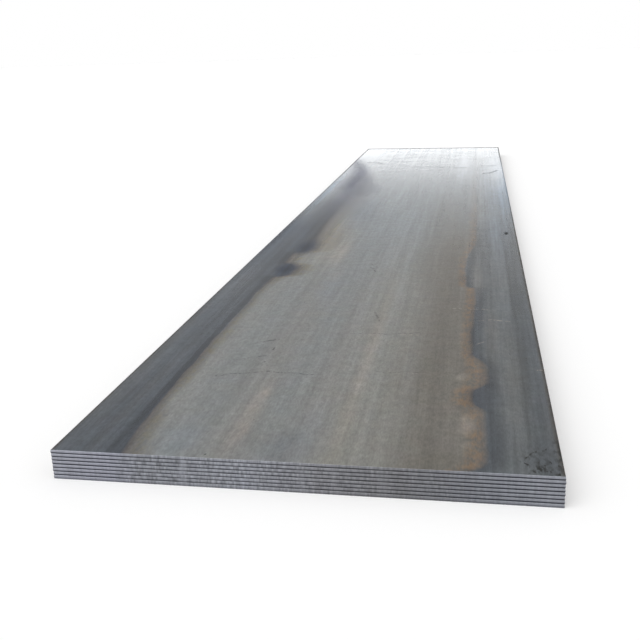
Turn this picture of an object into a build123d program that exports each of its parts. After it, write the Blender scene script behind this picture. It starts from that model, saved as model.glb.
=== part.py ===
from build123d import *
import math
import os

# A stack of hot-rolled steel plates, cut to length from mill-edge coil and laid face to face.
# Width runs along X, the rolling direction along Y and height along Z, in millimetres.
# The origin is at the middle of the stack's footprint, on the surface that it lies on.

# One plate
plate_width = 1500.0  # over the rounded mill edges
plate_length = 8000.0  # between the sheared ends
plate_thickness = 12.0

# The stack
plate_count = 8
side_stagger = 0.5  # how far a plate strays sideways from the middle of the stack
end_stagger = 0.4  # how far a plate strays lengthwise
side_phase = 2.4  # radians from one plate to the next, so that neighbours never line up exactly
end_phase = 1.7

# Mill edge: the long edges, as the rolls leave them
edge_crown = 1.2  # how far the middle of the edge bulges past the flat faces

# Sheared end: the blade draws the face round, cuts an upright land, then tears the rest off
rollover_depth = 1.2  # how far down the end the rounding runs
rollover_width = 0.8  # how far in along the face it starts
land_height = 5.6  # upright cut land below the roll-over
tear_setback = 1.1  # how far the torn face leans in where it meets the other face


def rolled_strip():
    """The strip as it leaves the mill: flat faces between two rounded edges."""
    edge = plate_width / 2
    face_end = edge - edge_crown
    mid_height = plate_thickness / 2
    outline = [
        Line((-face_end, 0), (face_end, 0)),
        ThreePointArc((face_end, 0), (edge, mid_height), (face_end, plate_thickness)),
        Line((face_end, plate_thickness), (-face_end, plate_thickness)),
        ThreePointArc((-face_end, plate_thickness), (-edge, mid_height), (-face_end, 0)),
    ]
    section = make_face(outline)
    return extrude(Plane.XZ * section, plate_length / 2, both=True)


def sheared_end():
    """Side view of the front end, from the torn corner at the bottom round to the flat top face."""
    end = -plate_length / 2
    land_top = plate_thickness - rollover_depth
    torn_corner = (end + tear_setback, 0)
    land_foot = (end, land_top - land_height)
    land_head = (end, land_top)
    face_start = (end + rollover_width, plate_thickness)
    return [
        Line(torn_corner, land_foot),
        Line(land_foot, land_head),
        TangentArc(land_head, face_start, tangent=(0, 1)),
    ]


def shear_cut():
    """What the shear leaves of the strip: one cut parts two plates, so the far end is the same
    profile turned half a turn, with its roll-over underneath."""
    front = sheared_end()
    middle = Axis((0, plate_thickness / 2, 0), (0, 0, 1))
    back = [edge.rotate(middle, 180) for edge in front]
    top = Line(front[-1] @ 1, back[0] @ 0)
    bottom = Line(back[-1] @ 1, front[0] @ 0)
    profile = make_face(front + [top] + back + [bottom])
    return extrude(Plane.YZ * profile, plate_width, both=True)


def centred(offsets):
    """The same offsets, moved so that the stack's outermost plates lie evenly about the origin."""
    middle = (min(offsets) + max(offsets)) / 2
    return [offset - middle for offset in offsets]


plate = rolled_strip() & shear_cut()
side_offsets = centred([side_stagger * math.sin(side_phase * layer) for layer in range(plate_count)])
end_offsets = centred([end_stagger * math.sin(end_phase * layer) for layer in range(plate_count)])

os.makedirs("parts", exist_ok=True)
for layer in range(plate_count):
    place = Pos(side_offsets[layer], end_offsets[layer], layer * plate_thickness)
    export_step(place * plate, f"parts/plate_{layer + 1}.step")
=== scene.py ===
import math
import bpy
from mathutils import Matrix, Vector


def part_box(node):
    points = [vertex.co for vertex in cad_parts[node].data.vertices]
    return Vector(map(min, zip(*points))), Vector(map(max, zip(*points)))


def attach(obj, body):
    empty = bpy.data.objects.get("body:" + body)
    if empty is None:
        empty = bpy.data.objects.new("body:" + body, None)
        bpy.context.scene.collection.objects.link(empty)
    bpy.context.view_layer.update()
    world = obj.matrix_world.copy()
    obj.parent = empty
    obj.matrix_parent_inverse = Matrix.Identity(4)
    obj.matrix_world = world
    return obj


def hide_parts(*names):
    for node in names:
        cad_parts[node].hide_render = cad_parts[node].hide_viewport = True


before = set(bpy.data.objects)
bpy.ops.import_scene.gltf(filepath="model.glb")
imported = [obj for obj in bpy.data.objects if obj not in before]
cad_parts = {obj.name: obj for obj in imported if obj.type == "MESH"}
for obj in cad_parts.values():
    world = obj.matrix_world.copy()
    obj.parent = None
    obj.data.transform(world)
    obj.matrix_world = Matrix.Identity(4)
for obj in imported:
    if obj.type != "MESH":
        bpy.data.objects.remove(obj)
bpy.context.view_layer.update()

from types import SimpleNamespace

import bpy
from mathutils import Matrix, Vector

bl_info = {
    "name": "Hot-rolled plate stack",
    "version": (1, 0, 0),
    "blender": (4, 5, 0),
    "location": "3D View > Sidebar > Plate stack",
    "description": "Dresses a stack of hot-rolled steel plates: mill scale, mill edges and sheared ends",
    "category": "Object",
}

MM = 0.001

# What the frame gives: the plates from the bottom up, their slot, and the top plate's corners and size
PLATES = sorted(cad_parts, key=lambda node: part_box(node)[0].z)
TOP_LOW, TOP_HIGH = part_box(PLATES[-1])
WIDTH, LENGTH, THICKNESS = TOP_HIGH - TOP_LOW

# Levels of cells up a plate's rim: the torn face, the cut land and the roll-over share them
RIM_LEVELS = 9
TORN_SHARE = 0.5
LAND_SHARE = 0.75
# Cells past this share of the half length lie on a cut end
AT_END = 0.999
SHARP_ANGLE = math.radians(20)
# From one plate's noise to the next one's
SEED_STEP = 1.7
# A noise's average, and where nearly all its values lie
MEAN_NOISE = 0.5
SPREAD = (0.3, 0.7)
# Eased ends of a Map Range node
EASED = {"interpolation_type": "SMOOTHSTEP"}

# Patterns of the oxide, from rolling streaks down to its grain: width and run in millimetres, detail, and how
# far they lighten and darken the plain face and the bands. The grain is drawn at 5 mm so that it shows.
OXIDE_PATTERNS = {
    "broad": (110, 2500, 2.0, 0.06, 0.14),
    "drawn_out": (40, 6000, 2.0, 0.06, 0.22),
    "fine": (26, 600, 2.0, 0.07, 0.13),
    "hair": (10, 250, 2.0, 0.045, 0.09),
    "cloud": (60, 60, 3.0, 0.07, 0.07),
    "mottle": (14, 34, 2.0, 0.09, 0.09),
    "grain": (5, 18, 1.0, 0.1, 0.1),
}
# How far the outlines of bands, stain and marks stray, in metres
BAND_FRAY = 7 * MM
STAIN_WANDER = 30 * MM
MARK_FRAY = (30 * MM, 40 * MM, 0.0)
# Where the brown line along a face's edges fades, and how many times wider it is at the far end
BRINK_FADE = (4 * MM, 15 * MM)
END_BRINK = 4

# The dark oxide band along each long edge, read along the plate from its front end, in millimetres:
# the line where it ends, how far its dark rim and brown halo reach in from that line, how far the rim
# reaches out, and how strongly the band, its rim and its halo show
LEFT_BAND = {
    "outline": (
        (0, 218), (300, 202), (430, 198), (950, 194), (1700, 196), (2040, 205), (2085, 245),
        (2170, 282), (2290, 276), (2350, 240), (2390, 205), (2570, 202), (2640, 240), (2720, 275),
        (3100, 258), (3600, 240), (4700, 240), (5600, 200), (8000, 190),
    ),
    "inner": (
        (0, 110), (250, 85), (450, 55), (800, 62), (1700, 55), (2050, 90), (2170, 120), (2300, 140),
        (2420, 130), (2520, 130), (2640, 140), (2720, 165), (3000, 180), (3300, 175), (3700, 160),
        (4400, 190), (8000, 190),
    ),
    "outer": (
        (0, 65), (700, 50), (1500, 50), (2000, 65), (2120, 105), (2300, 95), (2420, 60), (2580, 65),
        (2700, 100), (3100, 100), (3600, 110), (4200, 150), (8000, 150),
    ),
    "cover": (
        (0, 1.0), (2000, 0.95), (3200, 1.0), (3500, 0.85), (3700, 0.68), (4100, 0.45), (4500, 0.4),
        (5000, 0.25), (5500, 0.1), (6000, 0.0), (8000, 0.0),
    ),
    "rim": (
        (0, 0.95), (900, 0.85), (1400, 0.5), (1900, 0.75), (2120, 1.0), (3500, 1.0), (4100, 0.8),
        (4700, 0.4), (5400, 0.0), (8000, 0.0),
    ),
    "halo": (
        (0, 0.7), (300, 0.7), (900, 0.85), (1900, 0.7), (2120, 1.0), (2900, 1.0), (3900, 0.8), (4800, 0.6),
        (5600, 0.2), (6200, 0.0), (8000, 0.0),
    ),
}
RIGHT_BAND = {
    "outline": (
        (0, 252), (20, 230), (75, 205), (210, 200), (350, 205), (415, 207), (455, 232), (525, 250),
        (615, 228), (665, 200), (775, 195), (895, 220), (985, 250), (1130, 254), (1500, 246), (1900, 241),
        (1945, 285), (2220, 290), (2480, 288), (2700, 268), (2900, 244), (3200, 236), (8000, 236),
    ),
    "inner": (
        (0, 80), (400, 90), (450, 85), (610, 85), (690, 95), (780, 95), (900, 75), (1000, 56), (1900, 58),
        (1950, 55), (2500, 50), (3200, 65), (8000, 75),
    ),
    "outer": (
        (0, 60), (430, 60), (500, 105), (620, 80), (680, 45), (880, 50), (1000, 50), (1900, 60),
        (1950, 42), (2700, 38), (3200, 60), (8000, 60),
    ),
    "cover": (
        (0, 1.0), (1500, 0.95), (2000, 0.8), (2600, 0.62), (3100, 0.45), (3600, 0.2), (4200, 0.0),
        (8000, 0.0),
    ),
    "rim": (
        (0, 0.65), (400, 0.65), (500, 0.95), (640, 0.9), (760, 0.65), (1000, 0.8), (1880, 0.65),
        (1960, 0.6), (2300, 0.45), (2900, 0.2), (4200, 0.0), (8000, 0.0),
    ),
    "halo": (
        (0, 0.75), (200, 0.8), (350, 0.6), (500, 0.95), (620, 0.75), (900, 0.85), (1200, 0.7),
        (1900, 0.95), (2100, 0.7), (3200, 0.5), (4500, 0.2), (8000, 0.0),
    ),
}
# Across a halo, from the band's line inward: how dark it still is, and how tan
LEFT_FADE = ((0.0, 1.0), (0.13, 0.66), (0.3, 0.42), (0.55, 0.2), (1.0, 0.0))
RIGHT_FADE = ((0.0, 1.0), (0.12, 0.72), (0.28, 0.36), (0.5, 0.12), (0.8, 0.0))
LEFT_TAN = ((0.05, 0.0), (0.35, 1.0), (0.55, 0.8), (1.0, 0.0))
RIGHT_TAN = ((0.03, 0.0), (0.2, 1.0), (0.5, 0.85), (1.0, 0.0))
# The soft dark stain that the left band runs out into: its middle line, its reach to the left and to the
# right, how much it darkens the scale and how much it dulls it
STAIN = {
    "middle": (
        (0, 240), (3600, 236), (4300, 245), (4800, 245), (5300, 215), (5600, 195), (5900, 160),
        (6200, 125), (6500, 75), (6800, 15), (7200, 0), (8000, 0),
    ),
    "left_reach": (
        (0, 100), (3600, 120), (4300, 190), (4800, 195), (5300, 185), (5600, 160), (6500, 130),
        (6800, 110), (8000, 100),
    ),
    "right_reach": (
        (0, 100), (3300, 120), (3900, 200), (4300, 270), (4800, 285), (5300, 240), (5600, 215),
        (6200, 190), (6800, 150), (8000, 120),
    ),
    "depth": (
        (0, 0.0), (3200, 0.0), (3500, 0.1), (3900, 0.3), (4100, 0.45), (4300, 0.65), (4500, 0.8),
        (4800, 0.9), (5300, 0.95), (5900, 0.95), (6200, 0.85), (6600, 0.7), (7000, 0.4), (7400, 0.0),
        (8000, 0.0),
    ),
    "dulling": (
        (0, 0.0), (4200, 0.0), (4500, 0.15), (4700, 0.3), (5000, 0.5), (5300, 0.6), (5600, 0.65),
        (6500, 0.65), (6800, 0.6), (7200, 0.0), (8000, 0.0),
    ),
}
# How brown the strip inside the right band is, and how blue the oxide turns, along the plate
TONES = {
    "brown": (
        (0, 1.0), (240, 0.9), (600, 1.0), (2300, 1.0), (2800, 0.95), (3100, 0.75), (3800, 0.4),
        (4700, 0.15), (5600, 0.0), (8000, 0.0),
    ),
    "blue": ((0, 0.0), (1500, 0.05), (2400, 0.3), (3000, 0.6), (3700, 0.95), (8000, 1.0)),
}
# Longest length that a curve can give, in millimetres
CURVE_TOP = 400
# How metallic the stain's oxide is, and how rough its dull specks and the dirt are
STAIN_METAL = 0.8
SPECK_ROUGHNESS = 0.42
DIRT_ROUGHNESS = 0.8
# From here on dirt is matt too, because there it shows only where it breaks the mirrored light
MATT_FROM = 3000

# Marks on the top face, in millimetres: centre from the left edge and from the front end, half width, half
# length, and strength
PALE_STREAKS = (
    (448, 2640, 95, 520, 0.18), (547, 190, 26, 85, 0.4), (544, 510, 27, 80, 0.36),
    (535, 330, 50, 500, 0.33), (855, 900, 42, 1500, 0.28), (490, 2650, 60, 480, 0.34),
    (540, 2100, 45, 260, 0.16), (1232, 310, 36, 120, 0.42), (1232, 165, 28, 45, 0.2),
    (1210, 720, 34, 60, 0.3), (1262, 2080, 45, 500, 0.18), (85, 1950, 90, 600, 0.09),
    (118, 450, 36, 900, 0.06), (115, 3200, 70, 900, 0.06),
)
# Pale blue oxide marks; those along the far edges, at 34, 1458 and 1400 across, are painted glints
BLUE_OXIDE_AND_PAINTED_GLINTS = (
    (34, 5200, 60, 1500, 0.6), (550, 1900, 90, 500, 0.12), (760, 200, 90, 350, 0.1),
    (85, 1950, 90, 600, 0.06), (360, 90, 130, 260, 0.12), (1458, 5200, 75, 2300, 0.8),
    (1400, 5000, 150, 2000, 0.35), (1385, 3300, 130, 1300, 0.22),
)
STRAW_CLOUDS = ((385, 3000, 200, 1300, 0.5),)
TAUPE_CLOUDS = ((1010, 3600, 240, 1700, 0.35), (1040, 2350, 150, 700, 0.5))
# Painted sheen: pale patches that lighten the far right corner where its reflection is brighter
PAINTED_FAR_SHEENS = ((1425, 6300, 190, 1500, 0.6), (1425, 6000, 110, 1700, 0.65), (1135, 6300, 120, 1400, 0.5))
SOFT_SHADES = ((455, 3950, 170, 950, 0.45), (700, 80, 110, 240, 0.25))
WARM_SHADES = (
    (1385, 700, 75, 950, 0.4), (1322, 1200, 50, 700, 0.35), (22, 900, 36, 1400, 0.3),
    (590, 150, 120, 260, 0.25),
)
BROWN_TEMPERS = (
    (58, 450, 36, 900, 0.22), (300, 2225, 45, 150, 0.45), (285, 2760, 58, 200, 0.45),
    (272, 2930, 60, 240, 0.4), (1196, 2080, 36, 160, 0.35), (1318, 1250, 45, 650, 0.12),
    (1484, 350, 40, 550, 0.15), (1175, 70, 80, 120, 0.12),
)
INDIGO_OXIDE = (
    (248, 2230, 84, 200, 1.0), (260, 2770, 90, 280, 1.0), (258, 3080, 60, 420, 0.2),
    (8, 3150, 46, 900, 0.5),
)
DARK_SPOTS = (
    (1438, 3200, 20, 70, 1.0), (475, 20, 5, 9, 0.9), (473, 806, 4, 9, 0.7), (558, 279, 4, 8, 0.6),
    (472, 241, 5, 8, 0.5), (468, 1615, 5, 14, 0.6), (1389, 974, 5, 10, 0.6), (1470, 1856, 6, 16, 0.5),
)
CORNER_DIRT = (
    (1440, 90, 120, 190, 0.3), (1494, 140, 24, 280, 0.5), (1441, 72, 16, 20, 0.75),
    (1436, 38, 26, 34, 0.75), (1469, 81, 16, 22, 0.75), (1458, 30, 18, 18, 0.75), (1483, 12, 16, 12, 0.8),
    (1489, 61, 8, 16, 0.7), (1410, 30, 12, 14, 0.6), (1393, 7, 12, 9, 0.8),
)
# Scuffs, in the same millimetres: from, to, half width, strength
DARK_SCUFFS = (
    ((360, 995), (464, 1076), 9, 0.42), ((346, 819), (456, 875), 9, 0.4),
    ((324, 650), (496, 708), 9, 0.34), ((496, 708), (697, 693), 9, 0.36), ((471, 925), (471, 984), 6, 0.5),
    ((750, 1170), (890, 1180), 8, 0.26), ((890, 1180), (1030, 1200), 8, 0.34),
    ((905, 740), (1058, 750), 8, 0.26), ((815, 1475), (845, 1350), 8, 0.32),
    ((690, 2370), (735, 2300), 10, 0.4), ((705, 2290), (750, 2170), 10, 0.35),
    ((1384, 74), (1402, 113), 8, 0.65), ((1402, 113), (1423, 141), 7, 0.5),
    ((1423, 141), (1455, 168), 10, 0.5), ((1387, 74), (1401, 59), 8, 0.6),
    ((1401, 59), (1418, 15), 8, 0.6), ((1310, 5860), (1375, 5890), 26, 0.5),
    ((1375, 5890), (1450, 6060), 26, 0.4), ((995, 6265), (1155, 6270), 30, 0.6),
    ((785, 6345), (945, 6290), 26, 0.35), ((150, 6745), (305, 6660), 34, 0.5),
    ((1285, 6385), (1440, 6405), 28, 0.4),
)
PALE_SCUFFS = (
    ((1157, 1553), (1307, 1549), 7, 0.3), ((1264, 1376), (1325, 1398), 7, 0.25),
    ((1325, 1398), (1396, 1381), 9, 0.35), ((1259, 1076), (1293, 1123), 7, 0.22),
    ((960, 1180), (1025, 1169), 7, 0.22), ((1010, 740), (1075, 736), 6, 0.2),
    ((1474, 809), (1496, 811), 5, 0.45),
)

# Across the cut ends, as shares of the width: how grimy they are and how that tints them
END_GRIME = ((0.13, 0.0), (0.17, 0.85), (0.4, 0.85), (0.55, 0.65), (0.7, 0.5), (0.82, 0.3), (0.9, 0.0))
END_TINT = (
    (0.0, (0.97, 0.97, 1.0)), (0.12, (0.95, 0.95, 1.0)), (0.2, (0.84, 0.85, 0.86)),
    (0.4, (0.95, 0.96, 0.98)), (0.54, (0.76, 0.75, 0.74)), (0.7, (0.65, 0.64, 0.62)),
    (0.8, (0.68, 0.68, 0.68)), (0.87, (0.73, 0.74, 0.75)), (0.95, (0.86, 0.87, 0.88)),
)
# How much of the steel the grime hides, and how far apart in the noise the plates' own dashes lie
GRIME_COVER = 0.6
DASH_STEP = 7.3


def linear(hex_colour):
    """An sRGB hex colour as linear red, green, blue and alpha."""
    shares = [int(hex_colour[i:i + 2], 16) / 255 for i in (1, 3, 5)]
    return (*(s / 12.92 if s <= 0.04045 else ((s + 0.055) / 1.055) ** 2.4 for s in shares), 1.0)


def add(tree, kind, *feeds, out=0, **settings):
    """Add a node, set it up, feed its inputs in order or by key from a dict, and return the output asked for.
    A kind may leave out ShaderNode, and may name the node's operation as its second word."""
    name, *operation = kind.split()
    made = tree.nodes.new(name if "Node" in name else "ShaderNode" + name)
    if operation:
        made.operation = operation[0]
    for setting, value in settings.items():
        setattr(made, setting, value)
    by_key = feeds[0] if feeds and isinstance(feeds[0], dict) else dict(enumerate(feeds))
    for key, feed in by_key.items():
        if isinstance(feed, bpy.types.NodeSocket):
            tree.links.new(feed, made.inputs[key])
        else:
            made.inputs[key].default_value = feed
    return made.outputs[out] if made.outputs else made


def length_property(name, description, millimetres):
    return bpy.props.FloatProperty(
        name=name, description=description, default=millimetres * MM, unit="LENGTH", precision=5
    )


def angle_property(name, description, degrees):
    return bpy.props.FloatProperty(
        name=name, description=description, default=math.radians(degrees), unit="ROTATION"
    )


def level_property(name, description, level):
    return bpy.props.FloatProperty(name=name, description=description, default=level, min=0)


def colour_property(name, description, hex_colour):
    return bpy.props.FloatVectorProperty(
        name=name, description=description, default=linear(hex_colour), size=4, subtype="COLOR", min=0, max=1
    )


class PlateSection(bpy.types.PropertyGroup):
    """Sizes of a plate's mill edges and sheared ends"""

    edge_crown: length_property("Edge crown", "How far the mill edge bulges past the flat faces", 1.2)
    rollover_depth: length_property("Roll-over depth", "How far down the end the rounded face runs", 1.2)
    rollover_width: length_property("Roll-over width", "How far in along the face the rounding starts", 0.8)
    land_height: length_property("Land height", "Height of the upright cut land", 5.6)
    tear_setback: length_property("Tear set-back", "How far the torn face leans in", 1.1)
    tear_wander: length_property("Tear wander", "How far the line between land and tear strays", 1.0)
    wander_pitch: length_property("Wander pitch", "Length of one wave of that line", 45)
    grain_pitch: length_property("Tear grain", "Size of the torn steel's grains", 9)
    column_spacing: length_property("Column spacing", "Cell width across the plate", 5)
    row_spacing: length_property("Row spacing", "Cell length along the plate", 250)


# The plate's tree takes all these sizes but the spacings, under the same names
TREE_SIZES = [name for name in PlateSection.__annotations__ if not name.endswith("_spacing")]


class PlateFinish(bpy.types.PropertyGroup):
    """Colours of the rolled faces, the edges and the cut ends"""

    scale: colour_property("Mill scale", "Plain oxide in the middle of the plate", "#83827f")
    cool_scale: colour_property("Cool scale", "Grey oxide of the cooler streaks", "#7e8181")
    blue_scale: colour_property("Blue scale", "Bluish oxide of the far half", "#7f868a")
    warm_scale: colour_property("Warm scale", "Olive-grey oxide", "#83817a")
    taupe_scale: colour_property("Taupe scale", "Brownish oxide beside the right band", "#6c6861")
    pale_scale: colour_property("Pale scale", "Rubbed streaks and scuffs", "#a59c93")
    straw_scale: colour_property("Straw scale", "Straw oxide inside the left band's lobes", "#8a8373")
    # Painted sheen near the far right corner, laid as a pale colour
    painted_far_sheen: colour_property("Far scale", "Pale oxide near the far right corner", "#b0b8bf")
    # Pale blue oxide, and painted glints along the far edges
    blue_oxide_and_painted_glint: colour_property("Glint scale", "Pale blue oxide, most of it along the far edges", "#7a90a6")
    left_band: colour_property("Left band", "Blue-grey oxide along the left edge", "#545a61")
    right_band: colour_property("Right band", "Grey oxide along the right edge", "#5d6265")
    left_far_band: colour_property("Left band, far half", "Bluer oxide of the same band", "#465364")
    right_far_band: colour_property("Right band, far half", "Bluer oxide of the same band", "#64707c")
    band_rim: colour_property("Band rim", "Indigo line where a band ends", "#3a3f46")
    halo_inner: colour_property("Inner halo", "Brown temper colour next to a rim", "#55463a")
    left_halo: colour_property("Left halo", "Straw temper colour inside the left band", "#767260")
    right_halo: colour_property("Right halo", "Tan temper colour inside the right band", "#836a50")
    stain: colour_property("Stain", "Dark violet stain past the left band", "#454b66")
    warm_shade: colour_property("Warm shade", "Brown-grey strips and patches", "#5f5c57")
    fringe: colour_property("Brown temper", "Brown oxide, most of it round the left band's lobes", "#3a2f26")
    lobe: colour_property("Lobes", "Indigo oxide in the left band's lobes and at its edge", "#1e3858")
    dirt: colour_property("Dirt", "Dark specks, smears and corner dirt", "#1c1e1c")
    brink: colour_property("Brink", "Brown line along a face's long edges and far end", "#3f3a34")
    rubbed: colour_property("Rubbed strip", "Worn grey strip beside the right edge", "#6b6963")
    edge_scale: colour_property("Edge scale", "Oxide on the rounded mill edges", "#4a4643")
    edge_rust: colour_property("Edge rust", "Rust on the rounded mill edges", "#5c4330")
    land: colour_property("Cut land", "Bright steel where the blade cut", "#b1b3bb")
    torn: colour_property("Torn steel", "Dark steel where the end tore off", "#5c5d64")
    end_dirt: colour_property("End grime", "Grime over the middle of the cut ends", "#7b7c80")


class StageSetup(bpy.types.PropertyGroup):
    """Camera and light"""

    camera_place: bpy.props.FloatVectorProperty(
        name="Camera", description="Where the camera stands", default=(0.4868, -6.1601, 1.2149),
        subtype="TRANSLATION", unit="LENGTH",
    )
    camera_pitch: angle_property("Pitch", "How far the camera looks down", 17.434)
    camera_yaw: angle_property("Yaw", "How far the camera is turned left", 10.489)
    camera_roll: angle_property("Roll", "How far the camera leans", -1.867)
    focal_length: bpy.props.FloatProperty(
        name="Focal length", description="Lens on a 36 mm sensor", default=48.223, unit="CAMERA"
    )
    room_level: level_property("Room light", "Soft light from all round", 0.6)
    mirror_level: level_property("Mirrored room", "Brightness overhead in the steel's reflections", 0.32)
    key_level: level_property("Key light", "Light of the soft key on a level surface", 0.4)
    key_elevation: angle_property("Key elevation", "Height of the key above the horizon", 50)
    key_turn: angle_property("Key turn", "How far left of the camera's side the key stands", 35)
    key_spread: angle_property("Key spread", "How wide the soft key looks from the stack", 70)
    panel_level: level_property("End panel", "Brightness of the low light panel past the far end", 2.25)
    floor_colour: colour_property("Floor", "Plain pale floor", "#dcdcdc")


def node_group(name, kind, inputs, output, output_kind):
    """A node tree with named inputs: the tree, its inputs' sockets, and the socket that takes its result."""
    tree = bpy.data.node_groups.new(name, kind)
    for input_kind, names in inputs.items():
        for socket in names:
            tree.interface.new_socket(socket, in_out="INPUT", socket_type=input_kind)
    tree.interface.new_socket(output, in_out="OUTPUT", socket_type=output_kind)
    given = tree.nodes.new("NodeGroupInput").outputs
    return tree, given, tree.nodes.new("NodeGroupOutput").inputs[output]


def plate_tree():
    """Geometry nodes for one plate: a box of cells, pressed to rounded mill edges and sheared ends."""
    tree, given, result = node_group("sheared_plate", "GeometryNodeTree", {
        "NodeSocketVector": ("low_corner", "high_corner"),
        "NodeSocketFloat": (*TREE_SIZES, "seed"),
        "NodeSocketInt": ("columns", "rows"),
        "NodeSocketMaterial": ("mill_scale", "mill_edge", "sheared_end"),
    }, "Plate", "NodeSocketGeometry")

    cells = add(tree, "GeometryNodeMeshCube", {
        "Size": (2, 2, 2), "Vertices X": given["columns"], "Vertices Y": given["rows"],
        "Vertices Z": RIM_LEVELS,
    })
    cell = add(tree, "SeparateXYZ", add(tree, "GeometryNodeInputPosition")).node.outputs
    span = add(tree, "VectorMath SUBTRACT", given["high_corner"], given["low_corner"])
    half = add(tree, "VectorMath SCALE", {0: span, "Scale": 0.5})
    half = add(tree, "SeparateXYZ", half).node.outputs
    thickness = add(tree, "SeparateXYZ", span, out="Z")

    # The front end has its roll-over on top, the far end has it underneath
    end = add(tree, "Math SIGN", cell["Y"])
    reach = add(tree, "Math ABSOLUTE", cell["Y"])
    at_end = add(tree, "Math GREATER_THAN", reach, AT_END)
    turned = add(tree, "Math MULTIPLY", cell["Z"], end)
    cut_height = add(tree, "Math MULTIPLY_ADD", turned, -0.5, 0.5)

    # Noise along the cut, its own for each plate and end
    across = add(tree, "Math MULTIPLY", cell["X"], half["X"])
    along_cut = add(tree, "CombineXYZ", across, end, given["seed"])
    wander_scale = add(tree, "Math DIVIDE", 1.0, given["wander_pitch"])
    stray = add(tree, "TexNoise", {"Vector": along_cut, "Scale": wander_scale, "Detail": 2.0})
    stray = add(tree, "Math SUBTRACT", stray, MEAN_NOISE)
    grain_scale = add(tree, "Math DIVIDE", 1.0, given["grain_pitch"])
    grain = add(tree, "TexNoise", {"Vector": along_cut, "Scale": grain_scale, "Detail": 1.0})

    # Height up the cut: torn face, then land, then roll-over
    roll_foot = add(tree, "Math SUBTRACT", thickness, given["rollover_depth"])
    land_foot = add(tree, "Math SUBTRACT", roll_foot, given["land_height"])
    land_foot = add(tree, "Math MULTIPLY_ADD", stray, given["tear_wander"], land_foot)
    land = add(tree, "Math SUBTRACT", roll_foot, land_foot)
    height = 0.0
    for low, high, rise in (
        (0.0, TORN_SHARE, land_foot),
        (TORN_SHARE, LAND_SHARE, land),
        (LAND_SHARE, 1.0, given["rollover_depth"]),
    ):
        climbed = add(tree, "MapRange", cut_height, low, high, 0.0, rise)
        height = add(tree, "Math ADD", climbed, height)

    # How far the cut lies in from the plate's end: torn face and roll-over
    lean = add(tree, "Math MULTIPLY_ADD", grain, given["tear_setback"], given["tear_setback"])
    lean = add(tree, "Math DIVIDE", lean, 1 + MEAN_NOISE)
    torn_in = add(tree, "MapRange", cut_height, 0.0, TORN_SHARE, lean, 0.0)
    rolled = add(tree, "MapRange", cut_height, LAND_SHARE, 1.0, 0.0, 1.0)
    rolled = add(tree, "Math POWER", rolled, 2.0)
    set_in = add(tree, "Math MULTIPLY_ADD", rolled, given["rollover_width"], torn_in)

    # Height in the plate: the cut's own levels at the ends, even ones along the mill edges
    middle = half["Z"]
    over_middle = add(tree, "Math SUBTRACT", height, middle)
    over_middle = add(tree, "Math MULTIPLY", over_middle, end)
    end_level = add(tree, "Math SUBTRACT", middle, over_middle)
    side_level = add(tree, "Math MULTIPLY_ADD", cell["Z"], middle, middle)
    level = add(tree, "Mix", {0: at_end, 2: side_level, 3: end_level})

    # The mill edge is full at mid-height and falls back to the faces
    from_middle = add(tree, "Math DIVIDE", level, middle)
    from_middle = add(tree, "Math SUBTRACT", from_middle, 1.0)
    fall = add(tree, "Math POWER", from_middle, 2.0)
    fall = add(tree, "Math MULTIPLY", fall, given["edge_crown"])
    side_reach = add(tree, "Math SUBTRACT", half["X"], fall)

    x = add(tree, "Math MULTIPLY", cell["X"], side_reach)
    pulled_in = add(tree, "Math MULTIPLY", set_in, at_end)
    pulled_in = add(tree, "Math MULTIPLY", pulled_in, end)
    y = add(tree, "Math MULTIPLY", cell["Y"], half["Y"])
    y = add(tree, "Math SUBTRACT", y, pulled_in)
    z = add(tree, "Math SUBTRACT", level, middle)
    place = add(tree, "CombineXYZ", x, y, z)
    centre = add(tree, "VectorMath MULTIPLY_ADD", span, (0.5, 0.5, 0.5), given["low_corner"])
    place = add(tree, "VectorMath ADD", place, centre)

    marked = add(tree, "GeometryNodeStoreNamedAttribute", {
        "Geometry": cells, "Name": "cut_height", "Value": cut_height,
    }, data_type="FLOAT", domain="POINT")
    pressed = add(tree, "GeometryNodeSetPosition", {"Geometry": marked, "Position": place})
    finished = add(tree, "GeometryNodeRealizeInstances", {"Geometry": pressed})
    finished = add(tree, "GeometryNodeSetMaterial", {"Geometry": finished, "Material": given["mill_scale"]})
    facing = add(tree, "SeparateXYZ", add(tree, "GeometryNodeInputNormal")).node.outputs
    for axis, name in (("X", "mill_edge"), ("Y", "sheared_end")):
        turn = add(tree, "Math ABSOLUTE", facing[axis])
        faces = add(tree, "FunctionNodeCompare GREATER_THAN", turn, 0.5)
        finished = add(tree, "GeometryNodeSetMaterial", {
            "Geometry": finished, "Selection": faces, "Material": given[name],
        })
    tree.links.new(finished, result)
    return tree


def mark_group():
    """Shader group for one soft oval mark on a face: strongest in its middle, nothing from its rim on."""
    tree, given, result = node_group("face_mark", "ShaderNodeTree", {
        "NodeSocketVector": ("Place", "Centre", "Half Size"),
        "NodeSocketFloat": ("Strength",),
    }, "Mark", "NodeSocketFloat")
    offset = add(tree, "VectorMath SUBTRACT", given["Place"], given["Centre"])
    offset = add(tree, "VectorMath DIVIDE", offset, given["Half Size"])
    distance = add(tree, "VectorMath LENGTH", offset, out="Value")
    mark = add(tree, "MapRange", distance, 0.0, 1.0, given["Strength"], 0.0, **EASED)
    tree.links.new(mark, result)
    return tree


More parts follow.
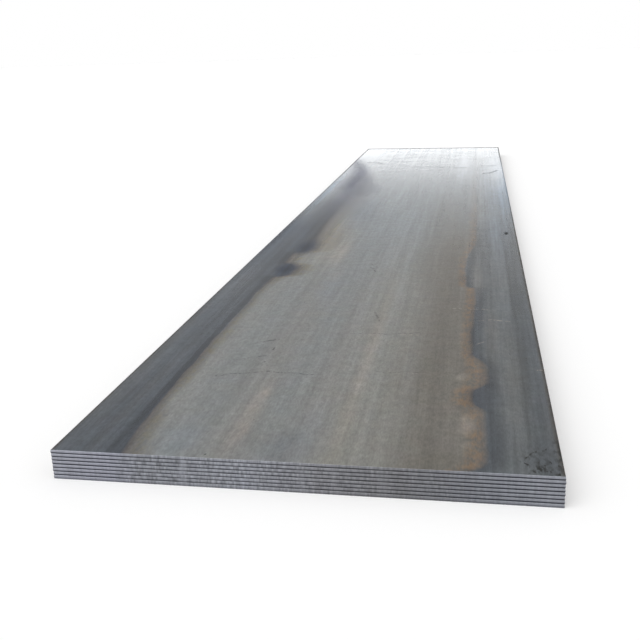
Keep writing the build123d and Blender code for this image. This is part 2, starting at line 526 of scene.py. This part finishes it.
def scuff_group():
    """Shader group for one straight scuff on a face: strongest along its run, nothing off its sides."""
    tree, given, result = node_group("face_scuff", "ShaderNodeTree", {
        "NodeSocketVector": ("Place", "Start", "Run"),
        "NodeSocketFloat": ("Half Width", "Strength"),
    }, "Scuff", "NodeSocketFloat")
    offset = add(tree, "VectorMath SUBTRACT", given["Place"], given["Start"])
    along = add(tree, "VectorMath DOT_PRODUCT", offset, given["Run"], out="Value")
    whole = add(tree, "VectorMath DOT_PRODUCT", given["Run"], given["Run"], out="Value")
    share = add(tree, "Math DIVIDE", along, whole, use_clamp=True)
    nearest = add(tree, "VectorMath SCALE", {0: given["Run"], "Scale": share})
    distance = add(tree, "VectorMath DISTANCE", offset, nearest, out="Value")
    scuff = add(tree, "MapRange", distance, 0.0, given["Half Width"], given["Strength"], 0.0, **EASED)
    tree.links.new(scuff, result)
    return tree


def draw_curve(socket, points, top):
    """Draw a float curve through points along the plate, in millimetres, up to a top value."""
    curve = socket.node.mapping.curves[0]
    places = [(along * MM / LENGTH, value / top) for along, value in points]
    curve.points[0].location = places[0]
    curve.points[-1].location = places[-1]
    for place in places[1:-1]:
        curve.points.new(*place)
    for point in curve.points:
        point.handle_type = "AUTO_CLAMPED"
    socket.node.mapping.update()


def read_along(tree, along, table):
    """Nodes that read a table's curves along the plate: lengths in metres, strengths from 0 to 1."""
    read = {}
    for name, points in table.items():
        read[name] = add(tree, "FloatCurve", {"Value": along})
        in_millimetres = max(value for _, value in points) > 1
        draw_curve(read[name], points, CURVE_TOP if in_millimetres else 1.0)
        if in_millimetres:
            read[name] = add(tree, "Math MULTIPLY", read[name], CURVE_TOP * MM)
    return read


def draw_ramp(socket, stops):
    """Set a colour ramp's stops, each a position with a grey or a colour, and return its socket."""
    ramp = socket.node.color_ramp
    while len(ramp.elements) < len(stops):
        ramp.elements.new(0.5)
    for element, (position, colour) in zip(ramp.elements, stops):
        shares = (colour,) * 3 if isinstance(colour, float) else colour
        element.position = position
        element.color = (*shares[:3], 1.0)
    return socket


def drawn_pattern(tree, place, x, y, z=1.0, detail=2.0, out=0):
    """A random pattern drawn out along the axes to sizes in millimetres."""
    sizes = add(tree, "Mapping", {0: place, "Scale": [1 / (size * MM) for size in (x, y, z)]})
    return add(tree, "TexNoise", {"Vector": sizes, "Scale": 1.0, "Detail": detail}, out=out)


def lay(tree, colour, ink, *shares):
    """Lay an ink over a colour, as thickly as its shares multiplied together."""
    laid = shares[0]
    for share in shares[1:]:
        laid = add(tree, "Math MULTIPLY", laid, share)
    return add(tree, "Mix", {0: laid, 6: colour, 7: ink}, out=2, data_type="RGBA")


def face_point(x, y):
    """A point of the top face, in metres, from millimetres off its left edge and its front end."""
    return Vector((TOP_LOW.x + x * MM, TOP_LOW.y + y * MM, 0.0))


def face_places(tree):
    """A point's place on a face: in metres off its edges, and as shares of the width and the length."""
    spot = add(tree, "SeparateXYZ", add(tree, "TexCoord", out="Object")).node.outputs
    flat = add(tree, "CombineXYZ", spot["X"], spot["Y"], 0.0)
    left = add(tree, "Math SUBTRACT", spot["X"], TOP_LOW.x)
    right = add(tree, "Math SUBTRACT", TOP_HIGH.x, spot["X"])
    front = add(tree, "Math SUBTRACT", spot["Y"], TOP_LOW.y)
    back = add(tree, "Math SUBTRACT", TOP_HIGH.y, spot["Y"])
    across = add(tree, "Math DIVIDE", left, WIDTH)
    along = add(tree, "Math DIVIDE", front, LENGTH)
    return SimpleNamespace(
        flat=flat, left=left, right=right, front=front, back=back, across=across, along=along
    )


def plain_scale(tree, finish, at, patterns, tones):
    """The scale between the bands: its tone across the plate, and the brown strip inside the right band."""
    plain, cool, warm = finish.scale, finish.cool_scale, finish.warm_scale
    tone = draw_ramp(add(tree, "ValToRGB", at.across), (
        (0.14, plain), (0.25, cool), (0.35, plain), (0.42, cool), (0.5, plain), (0.57, warm), (1.0, warm),
    ))
    shift = add(tree, "MapRange", patterns["broad"], *SPREAD, 0.0, 0.6)
    colour = lay(tree, tone, cool, shift)
    colour = lay(tree, colour, finish.blue_scale, tones["blue"])
    strip = add(tree, "MapRange", at.across, 0.61, 0.75, 0.0, 1.0, **EASED)
    return lay(tree, colour, finish.taupe_scale, strip, tones["brown"])


def lay_bands(tree, finish, at, patterns, tones, colour):
    """The dark bands with their rims and halos. Also how far in a band a point is, and in the left one."""
    fray = drawn_pattern(tree, at.flat, 90, 260, detail=3.0)
    fray = add(tree, "MapRange", fray, *SPREAD, -BAND_FRAY, BAND_FRAY)
    patchy = add(tree, "Math ADD", patterns["cloud"], patterns["mottle"])
    patchy = add(tree, "MapRange", patchy, 0.8, 1.15, 0.1, 1.3)
    in_band = 0.0
    for side, from_edge, band, fade_stops, tan_stops in (
        ("right", at.right, RIGHT_BAND, RIGHT_FADE, RIGHT_TAN),
        ("left", at.left, LEFT_BAND, LEFT_FADE, LEFT_TAN),
    ):
        near_ink, far_ink, halo_ink = (
            getattr(finish, f"{side}_{part}") for part in ("band", "far_band", "halo")
        )
        read = read_along(tree, at.along, band)
        past = add(tree, "Math SUBTRACT", from_edge, read["outline"])
        past = add(tree, "Math ADD", past, fray)
        inward = add(tree, "Math DIVIDE", past, read["inner"], use_clamp=True)
        outward = add(tree, "Math DIVIDE", past, read["outer"])
        outward = add(tree, "MapRange", outward, -1.3, 0.0, 0.0, 1.0, **EASED)
        fade = draw_ramp(add(tree, "ValToRGB", inward), fade_stops)
        tanned = draw_ramp(add(tree, "ValToRGB", inward), tan_stops)
        browning = add(tree, "MapRange", inward, 0.0, 0.14, 0.0, 1.0)
        band_ink = lay(tree, near_ink, far_ink, tones["blue"])
        rim_ink = lay(tree, finish.band_rim, finish.halo_inner, browning, read["halo"])
        colour = lay(tree, colour, halo_ink, tanned, patchy, read["halo"])
        colour = lay(tree, colour, band_ink, fade, read["cover"])
        colour = lay(tree, colour, rim_ink, outward, fade, read["rim"])
        in_band = add(tree, "Math MAXIMUM", fade, in_band)
        if side == "right":
            # It darkens again towards its edge, and is rubbed next to it
            for near, far, strength, ink in ((10, 130, 0.45, finish.band_rim), (5, 20, 0.25, finish.rubbed)):
                laid = add(tree, "MapRange", from_edge, near * MM, far * MM, strength, 0.0, **EASED)
                colour = lay(tree, colour, ink, laid, read["cover"])
    return colour, in_band, fade


def lay_stain(tree, finish, at, patterns, colour):
    """The stain past the left band, a thicker and more metallic oxide: the colour, how metallic, how dull."""
    read = read_along(tree, at.along, STAIN)
    wander = drawn_pattern(tree, at.flat, 260, 700, detail=1.0)
    wander = add(tree, "MapRange", wander, *SPREAD, -STAIN_WANDER, STAIN_WANDER)
    aside = add(tree, "Math SUBTRACT", at.left, read["middle"])
    aside = add(tree, "Math ADD", aside, wander)
    rightward = add(tree, "Math DIVIDE", aside, read["right_reach"])
    leftward = add(tree, "Math DIVIDE", aside, read["left_reach"])
    leftward = add(tree, "Math MULTIPLY", leftward, -1.0)
    aside = add(tree, "Math MAXIMUM", rightward, leftward)
    stained = add(tree, "MapRange", aside, 0.0, 1.0, 1.0, 0.0, **EASED)
    streaky = add(tree, "MapRange", patterns["drawn_out"], *SPREAD, 0.75, 1.1)
    stained = add(tree, "Math MULTIPLY", stained, streaky)
    laid = add(tree, "Math MULTIPLY", stained, read["depth"])
    oxide = add(tree, "Math MULTIPLY", laid, STAIN_METAL)
    # It is dull in specks, 1.5 by 5 mm, that lie closer where it is duller
    specks = add(tree, "Mapping", {0: at.flat, "Scale": (1 / (1.5 * MM), 1 / (5 * MM), 1)})
    specks = add(tree, "TexVoronoi", {"Vector": specks, "Scale": 1.0}, out="Color")
    specks = add(tree, "SeparateXYZ", specks, out="X")
    dulled = add(tree, "Math MULTIPLY", stained, read["dulling"])
    dulled = add(tree, "Math LESS_THAN", specks, dulled)
    return lay(tree, colour, finish.stain, laid), oxide, dulled


def lay_marks(tree, finish, at, patterns, colour, oxide, matt):
    """The marks and scuffs, their places frayed a little so that none is a clean oval or line."""
    fray = patterns["cloud"].node.outputs["Color"]
    fray = add(tree, "VectorMath SUBTRACT", fray, (MEAN_NOISE, MEAN_NOISE, 0.0))
    frayed = add(tree, "VectorMath MULTIPLY_ADD", fray, MARK_FRAY, at.flat)
    broken = add(tree, "MapRange", patterns["mottle"], 0.44, 0.56, 0.0, 1.5)
    marks, scuffs = mark_group(), scuff_group()
    # Among these inks are painted glints along the far edges and a painted sheen near the far right corner
    for group, ink in (
        (PALE_STREAKS, finish.pale_scale), (BLUE_OXIDE_AND_PAINTED_GLINTS, finish.blue_oxide_and_painted_glint),
        (STRAW_CLOUDS, finish.straw_scale), (TAUPE_CLOUDS, finish.taupe_scale),
        (PAINTED_FAR_SHEENS, finish.painted_far_sheen), (SOFT_SHADES, finish.left_far_band),
        (WARM_SHADES, finish.warm_shade), (BROWN_TEMPERS, finish.fringe), (INDIGO_OXIDE, finish.lobe),
        (DARK_SPOTS, finish.dirt), (CORNER_DIRT, finish.dirt),
    ):
        for x, y, half_width, half_length, strength in group:
            laid = add(tree, "Group", {
                "Place": frayed, "Centre": face_point(x, y),
                "Half Size": (half_width * MM, half_length * MM, 1.0), "Strength": strength,
            }, node_tree=marks)
            if group is CORNER_DIRT:
                laid = add(tree, "Math MULTIPLY", laid, broken)
            colour = lay(tree, colour, ink, laid)
            if group is INDIGO_OXIDE:
                oxide = add(tree, "Math MAXIMUM", oxide, laid)
            if group is DARK_SPOTS and y > MATT_FROM:
                matt = add(tree, "Math MAXIMUM", matt, laid)
    for group, ink in ((DARK_SCUFFS, finish.dirt), (PALE_SCUFFS, finish.pale_scale)):
        for start, stop, half_width, strength in group:
            laid = add(tree, "Group", {
                "Place": frayed, "Start": face_point(*start), "Run": face_point(*stop) - face_point(*start),
                "Half Width": half_width * MM, "Strength": strength,
            }, node_tree=scuffs)
            laid = add(tree, "Math MULTIPLY", laid, broken)
            colour = lay(tree, colour, ink, laid)
            if group is DARK_SCUFFS and start[1] > MATT_FROM:
                matt = add(tree, "Math MAXIMUM", matt, laid)
    return colour, oxide, matt


def mill_scale(tree, finish):
    """Hot-rolled mild steel with its mill scale, as the last rolls and the cooling coil left it."""
    # The eye sees a thin grey iron oxide, nearly smooth, so it mirrors a bright room at a low angle. It is
    # faintly streaked along the rolling direction, darker and bluer where the coil's edges let air in, and
    # brown with temper colours just inside those bands.
    at = face_places(tree)
    tones = read_along(tree, at.along, TONES)
    patterns = {
        name: drawn_pattern(tree, at.flat, width, run, detail=detail)
        for name, (width, run, detail, _, _) in OXIDE_PATTERNS.items()
    }
    colour = plain_scale(tree, finish, at, patterns, tones)
    colour, in_band, in_left_band = lay_bands(tree, finish, at, patterns, tones, colour)
    colour, oxide, dulled = lay_stain(tree, finish, at, patterns, colour)

    # A brown line along both long edges and the far end, where the scale breaks off
    brink = add(tree, "Math MINIMUM", at.left, at.right)
    from_back = add(tree, "Math DIVIDE", at.back, END_BRINK)
    brink = add(tree, "Math MINIMUM", brink, from_back)
    brink = add(tree, "MapRange", brink, *BRINK_FADE, 0.8, 0.0)
    ragged = add(tree, "MapRange", patterns["cloud"], 0.3, 0.6, 0.5, 1.0)
    brink = add(tree, "Math MULTIPLY", brink, ragged)
    colour = lay(tree, colour, finish.brink, brink)
    colour, oxide, matt = lay_marks(tree, finish, at, patterns, colour, oxide, brink)

    # Light and dark of the patterns, stronger in the bands
    shade = 1.0
    for name, (_, _, _, swing, band_swing) in OXIDE_PATTERNS.items():
        swung = add(tree, "MapRange", patterns[name], *SPREAD, -1.0, 1.0)
        reach = add(tree, "MapRange", in_band, 0.0, 1.0, swing, band_swing)
        swung = add(tree, "Math MULTIPLY_ADD", swung, reach, 1.0)
        shade = add(tree, "Math MULTIPLY", swung, shade)
    colour = add(tree, "VectorMath SCALE", {0: colour, "Scale": shade})
    # Hue drifts between straw and violet with the oxide's thickness, in patches of 90 mm
    drift = drawn_pattern(tree, at.flat, 90, 90, detail=3.0, out="Color")
    drift = add(tree, "VectorMath MULTIPLY_ADD", drift, (0.1, 0.05, 0.1), (0.95, 0.975, 0.95))
    colour = add(tree, "VectorMath MULTIPLY", colour, drift)

    # Gloss: the left band is smoother than the rest, the stain past it is dull in specks, and dirt is matt
    ripple = drawn_pattern(tree, at.flat, 240, 150)
    ripple = add(tree, "MapRange", ripple, 0.35, 0.65, -0.015, 0.015)
    worn = add(tree, "MapRange", patterns["drawn_out"], *SPREAD, 0.18, 0.22)
    worn = add(tree, "Math ADD", worn, ripple)
    smooth = add(tree, "MapRange", at.front, 3300 * MM, 5200 * MM, 0.12, 0.18)
    gloss = worn
    for share, roughness in ((in_left_band, smooth), (dulled, SPECK_ROUGHNESS), (matt, DIRT_ROUGHNESS)):
        gloss = add(tree, "Mix", {0: share, 2: gloss, 3: roughness})
    relief = add(tree, "Bump", {"Strength": 0.1, "Distance": 0.05 * MM, "Height": patterns["mottle"]})
    return {"Base Color": colour, "Roughness": gloss, "Metallic": oxide, "Normal": relief}


def sheared_end(tree, finish):
    """Mild steel as the shear left it: a bright cut land over a dark torn face."""
    # The land is steel wiped bright by the blade, with upright drag marks. The torn face is coarse and dark.
    # Grime from handling covers both over the middle of the width.
    place = add(tree, "TexCoord", out="Object")
    spot = add(tree, "SeparateXYZ", place).node.outputs
    height = add(tree, "Attribute", out="Fac", attribute_name="cut_height")
    on_land = add(tree, "MapRange", height, 0.38, 0.56, 0.0, 1.0)
    # Painted light from the white floor lightens the bottom plate's torn face
    painted_floor_light = add(tree, "MapRange", spot["Z"], 0.0, 0.7 * THICKNESS, 0.75, 0.0)
    on_land = add(tree, "Math MAXIMUM", on_land, painted_floor_light)
    colour = lay(tree, finish.torn, finish.land, on_land)
    # Drag marks about 3 mm apart, drawn at 9 mm so that they show
    drag = drawn_pattern(tree, place, 9, 1000, 60)
    shade = add(tree, "MapRange", drag, *SPREAD, 0.88, 1.1)
    colour = add(tree, "VectorMath SCALE", {0: colour, "Scale": shade})

    # Grime over the middle of the width, in dashes 9 mm long on each plate, with pale runs 45 mm apart
    from_left = add(tree, "Math SUBTRACT", spot["X"], TOP_LOW.x)
    across = add(tree, "Math DIVIDE", from_left, WIDTH)
    grime = draw_ramp(add(tree, "ValToRGB", across), END_GRIME)
    tint = draw_ramp(add(tree, "ValToRGB", across), END_TINT)
    patch = drawn_pattern(tree, place, 40, 40, 40, detail=3.0)
    broken = add(tree, "MapRange", patch, 0.35, 0.65, 0.4, 1.0)
    grimy = add(tree, "Math MULTIPLY", grime, broken)
    colour = lay(tree, colour, finish.end_dirt, grimy, GRIME_COVER)
    layer = add(tree, "Math DIVIDE", spot["Z"], THICKNESS)
    layer = add(tree, "Math FLOOR", layer)
    layer = add(tree, "Math MULTIPLY", layer, DASH_STEP)
    row = add(tree, "CombineXYZ", spot["X"], layer, 0.0)
    dash = drawn_pattern(tree, row, 9, 1000)
    dash = add(tree, "MapRange", dash, 0.34, 0.66, 0.55, 1.5)
    dash = add(tree, "Mix", {0: grimy, 2: 1.0, 3: dash})
    colour = add(tree, "VectorMath SCALE", {0: colour, "Scale": dash})
    run = drawn_pattern(tree, place, 45, 1000, 300)
    run = add(tree, "MapRange", run, 0.56, 0.7, 0.0, 0.5)
    colour = lay(tree, colour, finish.land, run, grime)
    colour = add(tree, "VectorMath MULTIPLY", colour, tint)

    gloss = add(tree, "MapRange", on_land, 0.0, 1.0, 0.7, 0.45)
    bare = add(tree, "MapRange", grimy, 0.0, 1.0, 0.9, 0.3)
    # Grain of the tear, 7 mm
    grain = drawn_pattern(tree, place, 7, 7, 7)
    relief = add(tree, "Bump", {"Strength": 0.5, "Distance": 0.3 * MM, "Height": grain})
    return {"Base Color": colour, "Roughness": gloss, "Metallic": bare, "Normal": relief}


def mill_edge(tree, finish):
    """Mild steel's untrimmed mill edge: rough dark scale with thin rust."""
    # The eye sees a dull dark grey round, brown in patches a hand long.
    place = add(tree, "TexCoord", out="Object")
    patch = drawn_pattern(tree, place, 1000, 160, 14, detail=4.0)
    rusty = add(tree, "MapRange", patch, 0.42, 0.62, 0.0, 0.9)
    colour = lay(tree, finish.edge_scale, finish.edge_rust, rusty)
    # Grain of the scale, 8 mm
    grain = drawn_pattern(tree, place, 8, 8, 8, detail=3.0)
    shade = add(tree, "MapRange", grain, *SPREAD, 0.8, 1.2)
    colour = add(tree, "VectorMath SCALE", {0: colour, "Scale": shade})
    gloss = add(tree, "MapRange", rusty, 0.0, 1.0, 0.45, 0.75)
    relief = add(tree, "Bump", {"Strength": 0.4, "Distance": 0.3 * MM, "Height": grain})
    return {"Base Color": colour, "Roughness": gloss, "Normal": relief}


def make_material(name, paint, finish):
    """A material whose shader takes what a painting function makes in its node tree."""
    material = bpy.data.materials.new(name)
    material.use_nodes = True
    tree = material.node_tree
    shader = tree.nodes["Principled BSDF"]
    for socket, painted in paint(tree, finish).items():
        tree.links.new(painted, shader.inputs[socket])
    return material


def put(context, name, data):
    """An object with that data, linked to the scene."""
    made = bpy.data.objects.new(name, data)
    context.scene.collection.objects.link(made)
    return made


class STACK_OT_lay_plates(bpy.types.Operator):
    """Lay the plates of the stack where the frame has them, each with its rolled faces and cut ends"""

    bl_idname = "steel_stack.lay_plates"
    bl_label = "Lay plates"

    def execute(self, context):
        section = context.scene.plate_section
        finish = context.scene.plate_finish
        tree = plate_tree()
        shared = {name: getattr(section, name) for name in TREE_SIZES}
        shared["columns"] = 1 + round(WIDTH / section.column_spacing)
        shared["rows"] = 1 + round(LENGTH / section.row_spacing)
        shared["mill_scale"] = make_material("hot_rolled_mill_scale", mill_scale, finish)
        shared["mill_edge"] = make_material("rusty_mill_edge", mill_edge, finish)
        shared["sheared_end"] = make_material("sheared_mild_steel", sheared_end, finish)
        for layer, node in enumerate(PLATES):
            low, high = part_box(node)
            sizes = {**shared, "low_corner": low, "high_corner": high, "seed": SEED_STEP * layer}
            piece = put(context, f"rolled_{node}", bpy.data.meshes.new(node))
            press = piece.modifiers.new("press", "NODES")
            press.node_group = tree
            for socket in tree.interface.items_tree:
                if socket.in_out == "INPUT":
                    press[socket.identifier] = sizes[socket.name]
            graph = context.evaluated_depsgraph_get()
            mesh = bpy.data.meshes.new_from_object(piece.evaluated_get(graph), depsgraph=graph)
            if not mesh.polygons:
                raise RuntimeError(f"{piece.name} came out empty")
            piece.modifiers.remove(press)
            piece.data = mesh
            mesh.shade_smooth()
            mesh.set_sharp_from_angle(angle=SHARP_ANGLE)
            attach(piece, "root")
            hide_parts(node)
        return {"FINISHED"}


class STACK_OT_set_stage(bpy.types.Operator):
    """Set the floor, the room's light, the lamps and the camera round the stack"""

    bl_idname = "steel_stack.set_stage"
    bl_label = "Set stage"

    # Sizes in metres
    FLOOR_REACH = 150.0
    PANEL_SIZE = (9.0, 1.36)
    PANEL_GAP = 8.0
    FLOOR_ROUGHNESS = 0.9
    FLOOR_LIFT = 0.3  # what the camera sees of the floor beyond the light on it
    HAZE_TOP = 0.16  # sine of the height where the mirrored room has dimmed to its level overhead
    SENSOR_WIDTH = 36.0  # in millimetres

    def execute(self, context):
        stage = context.scene.stage_setup
        self.lay_floor(context, stage)
        self.light_room(context, stage)
        self.hang_key(context, stage)
        self.stand_panel(context, stage)
        self.set_camera(context, stage)
        context.scene.view_settings.view_transform = "Standard"
        return {"FINISHED"}

    def lay_floor(self, context, stage):
        """A plain pale floor that keeps the stack's shadow and meets the white room with no line."""
        reach = self.FLOOR_REACH
        mesh = bpy.data.meshes.new("floor")
        corners = [(-reach, -reach, 0), (reach, -reach, 0), (reach, reach, 0), (-reach, reach, 0)]
        mesh.from_pydata(corners, [], [(0, 1, 2, 3)])
        floor = put(context, "floor", mesh)
        material = bpy.data.materials.new("matt_white_floor")
        material.use_nodes = True
        tree = material.node_tree
        shader = tree.nodes["Principled BSDF"]
        shader.inputs["Base Color"].default_value = stage.floor_colour
        shader.inputs["Roughness"].default_value = self.FLOOR_ROUGHNESS
        shader.inputs["Specular IOR Level"].default_value = 0.0
        seen = add(tree, "LightPath", out="Is Camera Ray")
        lift = add(tree, "Math MULTIPLY", seen, self.FLOOR_LIFT)
        shader.inputs["Emission Color"].default_value = (1, 1, 1, 1)
        tree.links.new(lift, shader.inputs["Emission Strength"])
        mesh.materials.append(material)

    def light_room(self, context, stage):
        """A white room to the eye and low in the steel's reflections, and an even soft light for all else."""
        room = bpy.data.worlds.new("white_room")
        room.use_nodes = True
        context.scene.world = room
        tree = room.node_tree
        background = tree.nodes["Background"]
        path = add(tree, "LightPath").node.outputs
        up = add(tree, "TexCoord", out="Generated")
        up = add(tree, "SeparateXYZ", up, out="Z")
        haze = add(tree, "MapRange", up, 0.0, self.HAZE_TOP, 1.0, stage.mirror_level, **EASED)
        mirrored = add(tree, "Math MAXIMUM", path["Is Glossy Ray"], path["Is Transmission Ray"])
        level = add(tree, "Mix", {0: mirrored, 2: stage.room_level, 3: haze})
        level = add(tree, "Mix", {0: path["Is Camera Ray"], 2: level, 3: 1.0})
        tree.links.new(level, background.inputs["Strength"])
        background.inputs["Color"].default_value = (1, 1, 1, 1)

    def hang_key(self, context, stage):
        """A wide soft key from the camera's side, up on the left."""
        lamp = bpy.data.lights.new("soft_key", "SUN")
        lamp.energy = stage.key_level * math.pi / math.sin(stage.key_elevation)
        lamp.angle = stage.key_spread
        key = put(context, "soft_key", lamp)
        key.rotation_euler = (math.pi / 2 - stage.key_elevation, 0, -stage.key_turn)

    def stand_panel(self, context, stage):
        """A low light panel past the far end, which the far half of the top plate mirrors."""
        lamp = bpy.data.lights.new("end_panel", "AREA")
        lamp.shape = "RECTANGLE"
        lamp.color = linear("#fafcff")[:3]
        lamp.size, lamp.size_y = self.PANEL_SIZE
        lamp.energy = stage.panel_level * math.pi * self.PANEL_SIZE[0] * self.PANEL_SIZE[1]
        panel = put(context, "end_panel", lamp)
        panel.location = (0, TOP_HIGH.y + self.PANEL_GAP, self.PANEL_SIZE[1] / 2)
        panel.rotation_euler = (-math.pi / 2, 0, 0)
        panel.visible_camera = False

    def set_camera(self, context, stage):
        """A camera at the photograph's angle, with its lens centred."""
        camera = put(context, "camera", bpy.data.cameras.new("camera"))
        camera.data.lens = stage.focal_length
        camera.data.sensor_width = self.SENSOR_WIDTH
        turn = Matrix.Rotation(stage.camera_yaw, 4, "Z")
        tilt = Matrix.Rotation(math.pi / 2 - stage.camera_pitch, 4, "X")
        roll = Matrix.Rotation(stage.camera_roll, 4, "Z")
        camera.matrix_world = Matrix.Translation(stage.camera_place) @ turn @ tilt @ roll
        context.scene.camera = camera


class STACK_PT_sidebar(bpy.types.Panel):
    """Sizes, finishes and stage of the plate stack"""

    bl_label = "Plate stack"
    bl_space_type = "VIEW_3D"
    bl_region_type = "UI"
    bl_category = "Plate stack"

    def draw(self, context):
        for group, operator in (
            (context.scene.plate_section, None),
            (context.scene.plate_finish, STACK_OT_lay_plates.bl_idname),
            (context.scene.stage_setup, STACK_OT_set_stage.bl_idname),
        ):
            for name in group.__annotations__:
                self.layout.prop(group, name)
            if operator:
                self.layout.operator(operator)


GROUPS = {"plate_section": PlateSection, "plate_finish": PlateFinish, "stage_setup": StageSetup}
CLASSES = (*GROUPS.values(), STACK_OT_lay_plates, STACK_OT_set_stage, STACK_PT_sidebar)


def register():
    for cls in CLASSES:
        bpy.utils.register_class(cls)
    for name, group in GROUPS.items():
        setattr(bpy.types.Scene, name, bpy.props.PointerProperty(type=group))


def unregister():
    for name in GROUPS:
        delattr(bpy.types.Scene, name)
    for cls in reversed(CLASSES):
        bpy.utils.unregister_class(cls)


def main():
    register()
    bpy.ops.steel_stack.lay_plates()
    bpy.ops.steel_stack.set_stage()


if __name__ == "__main__":
    main()
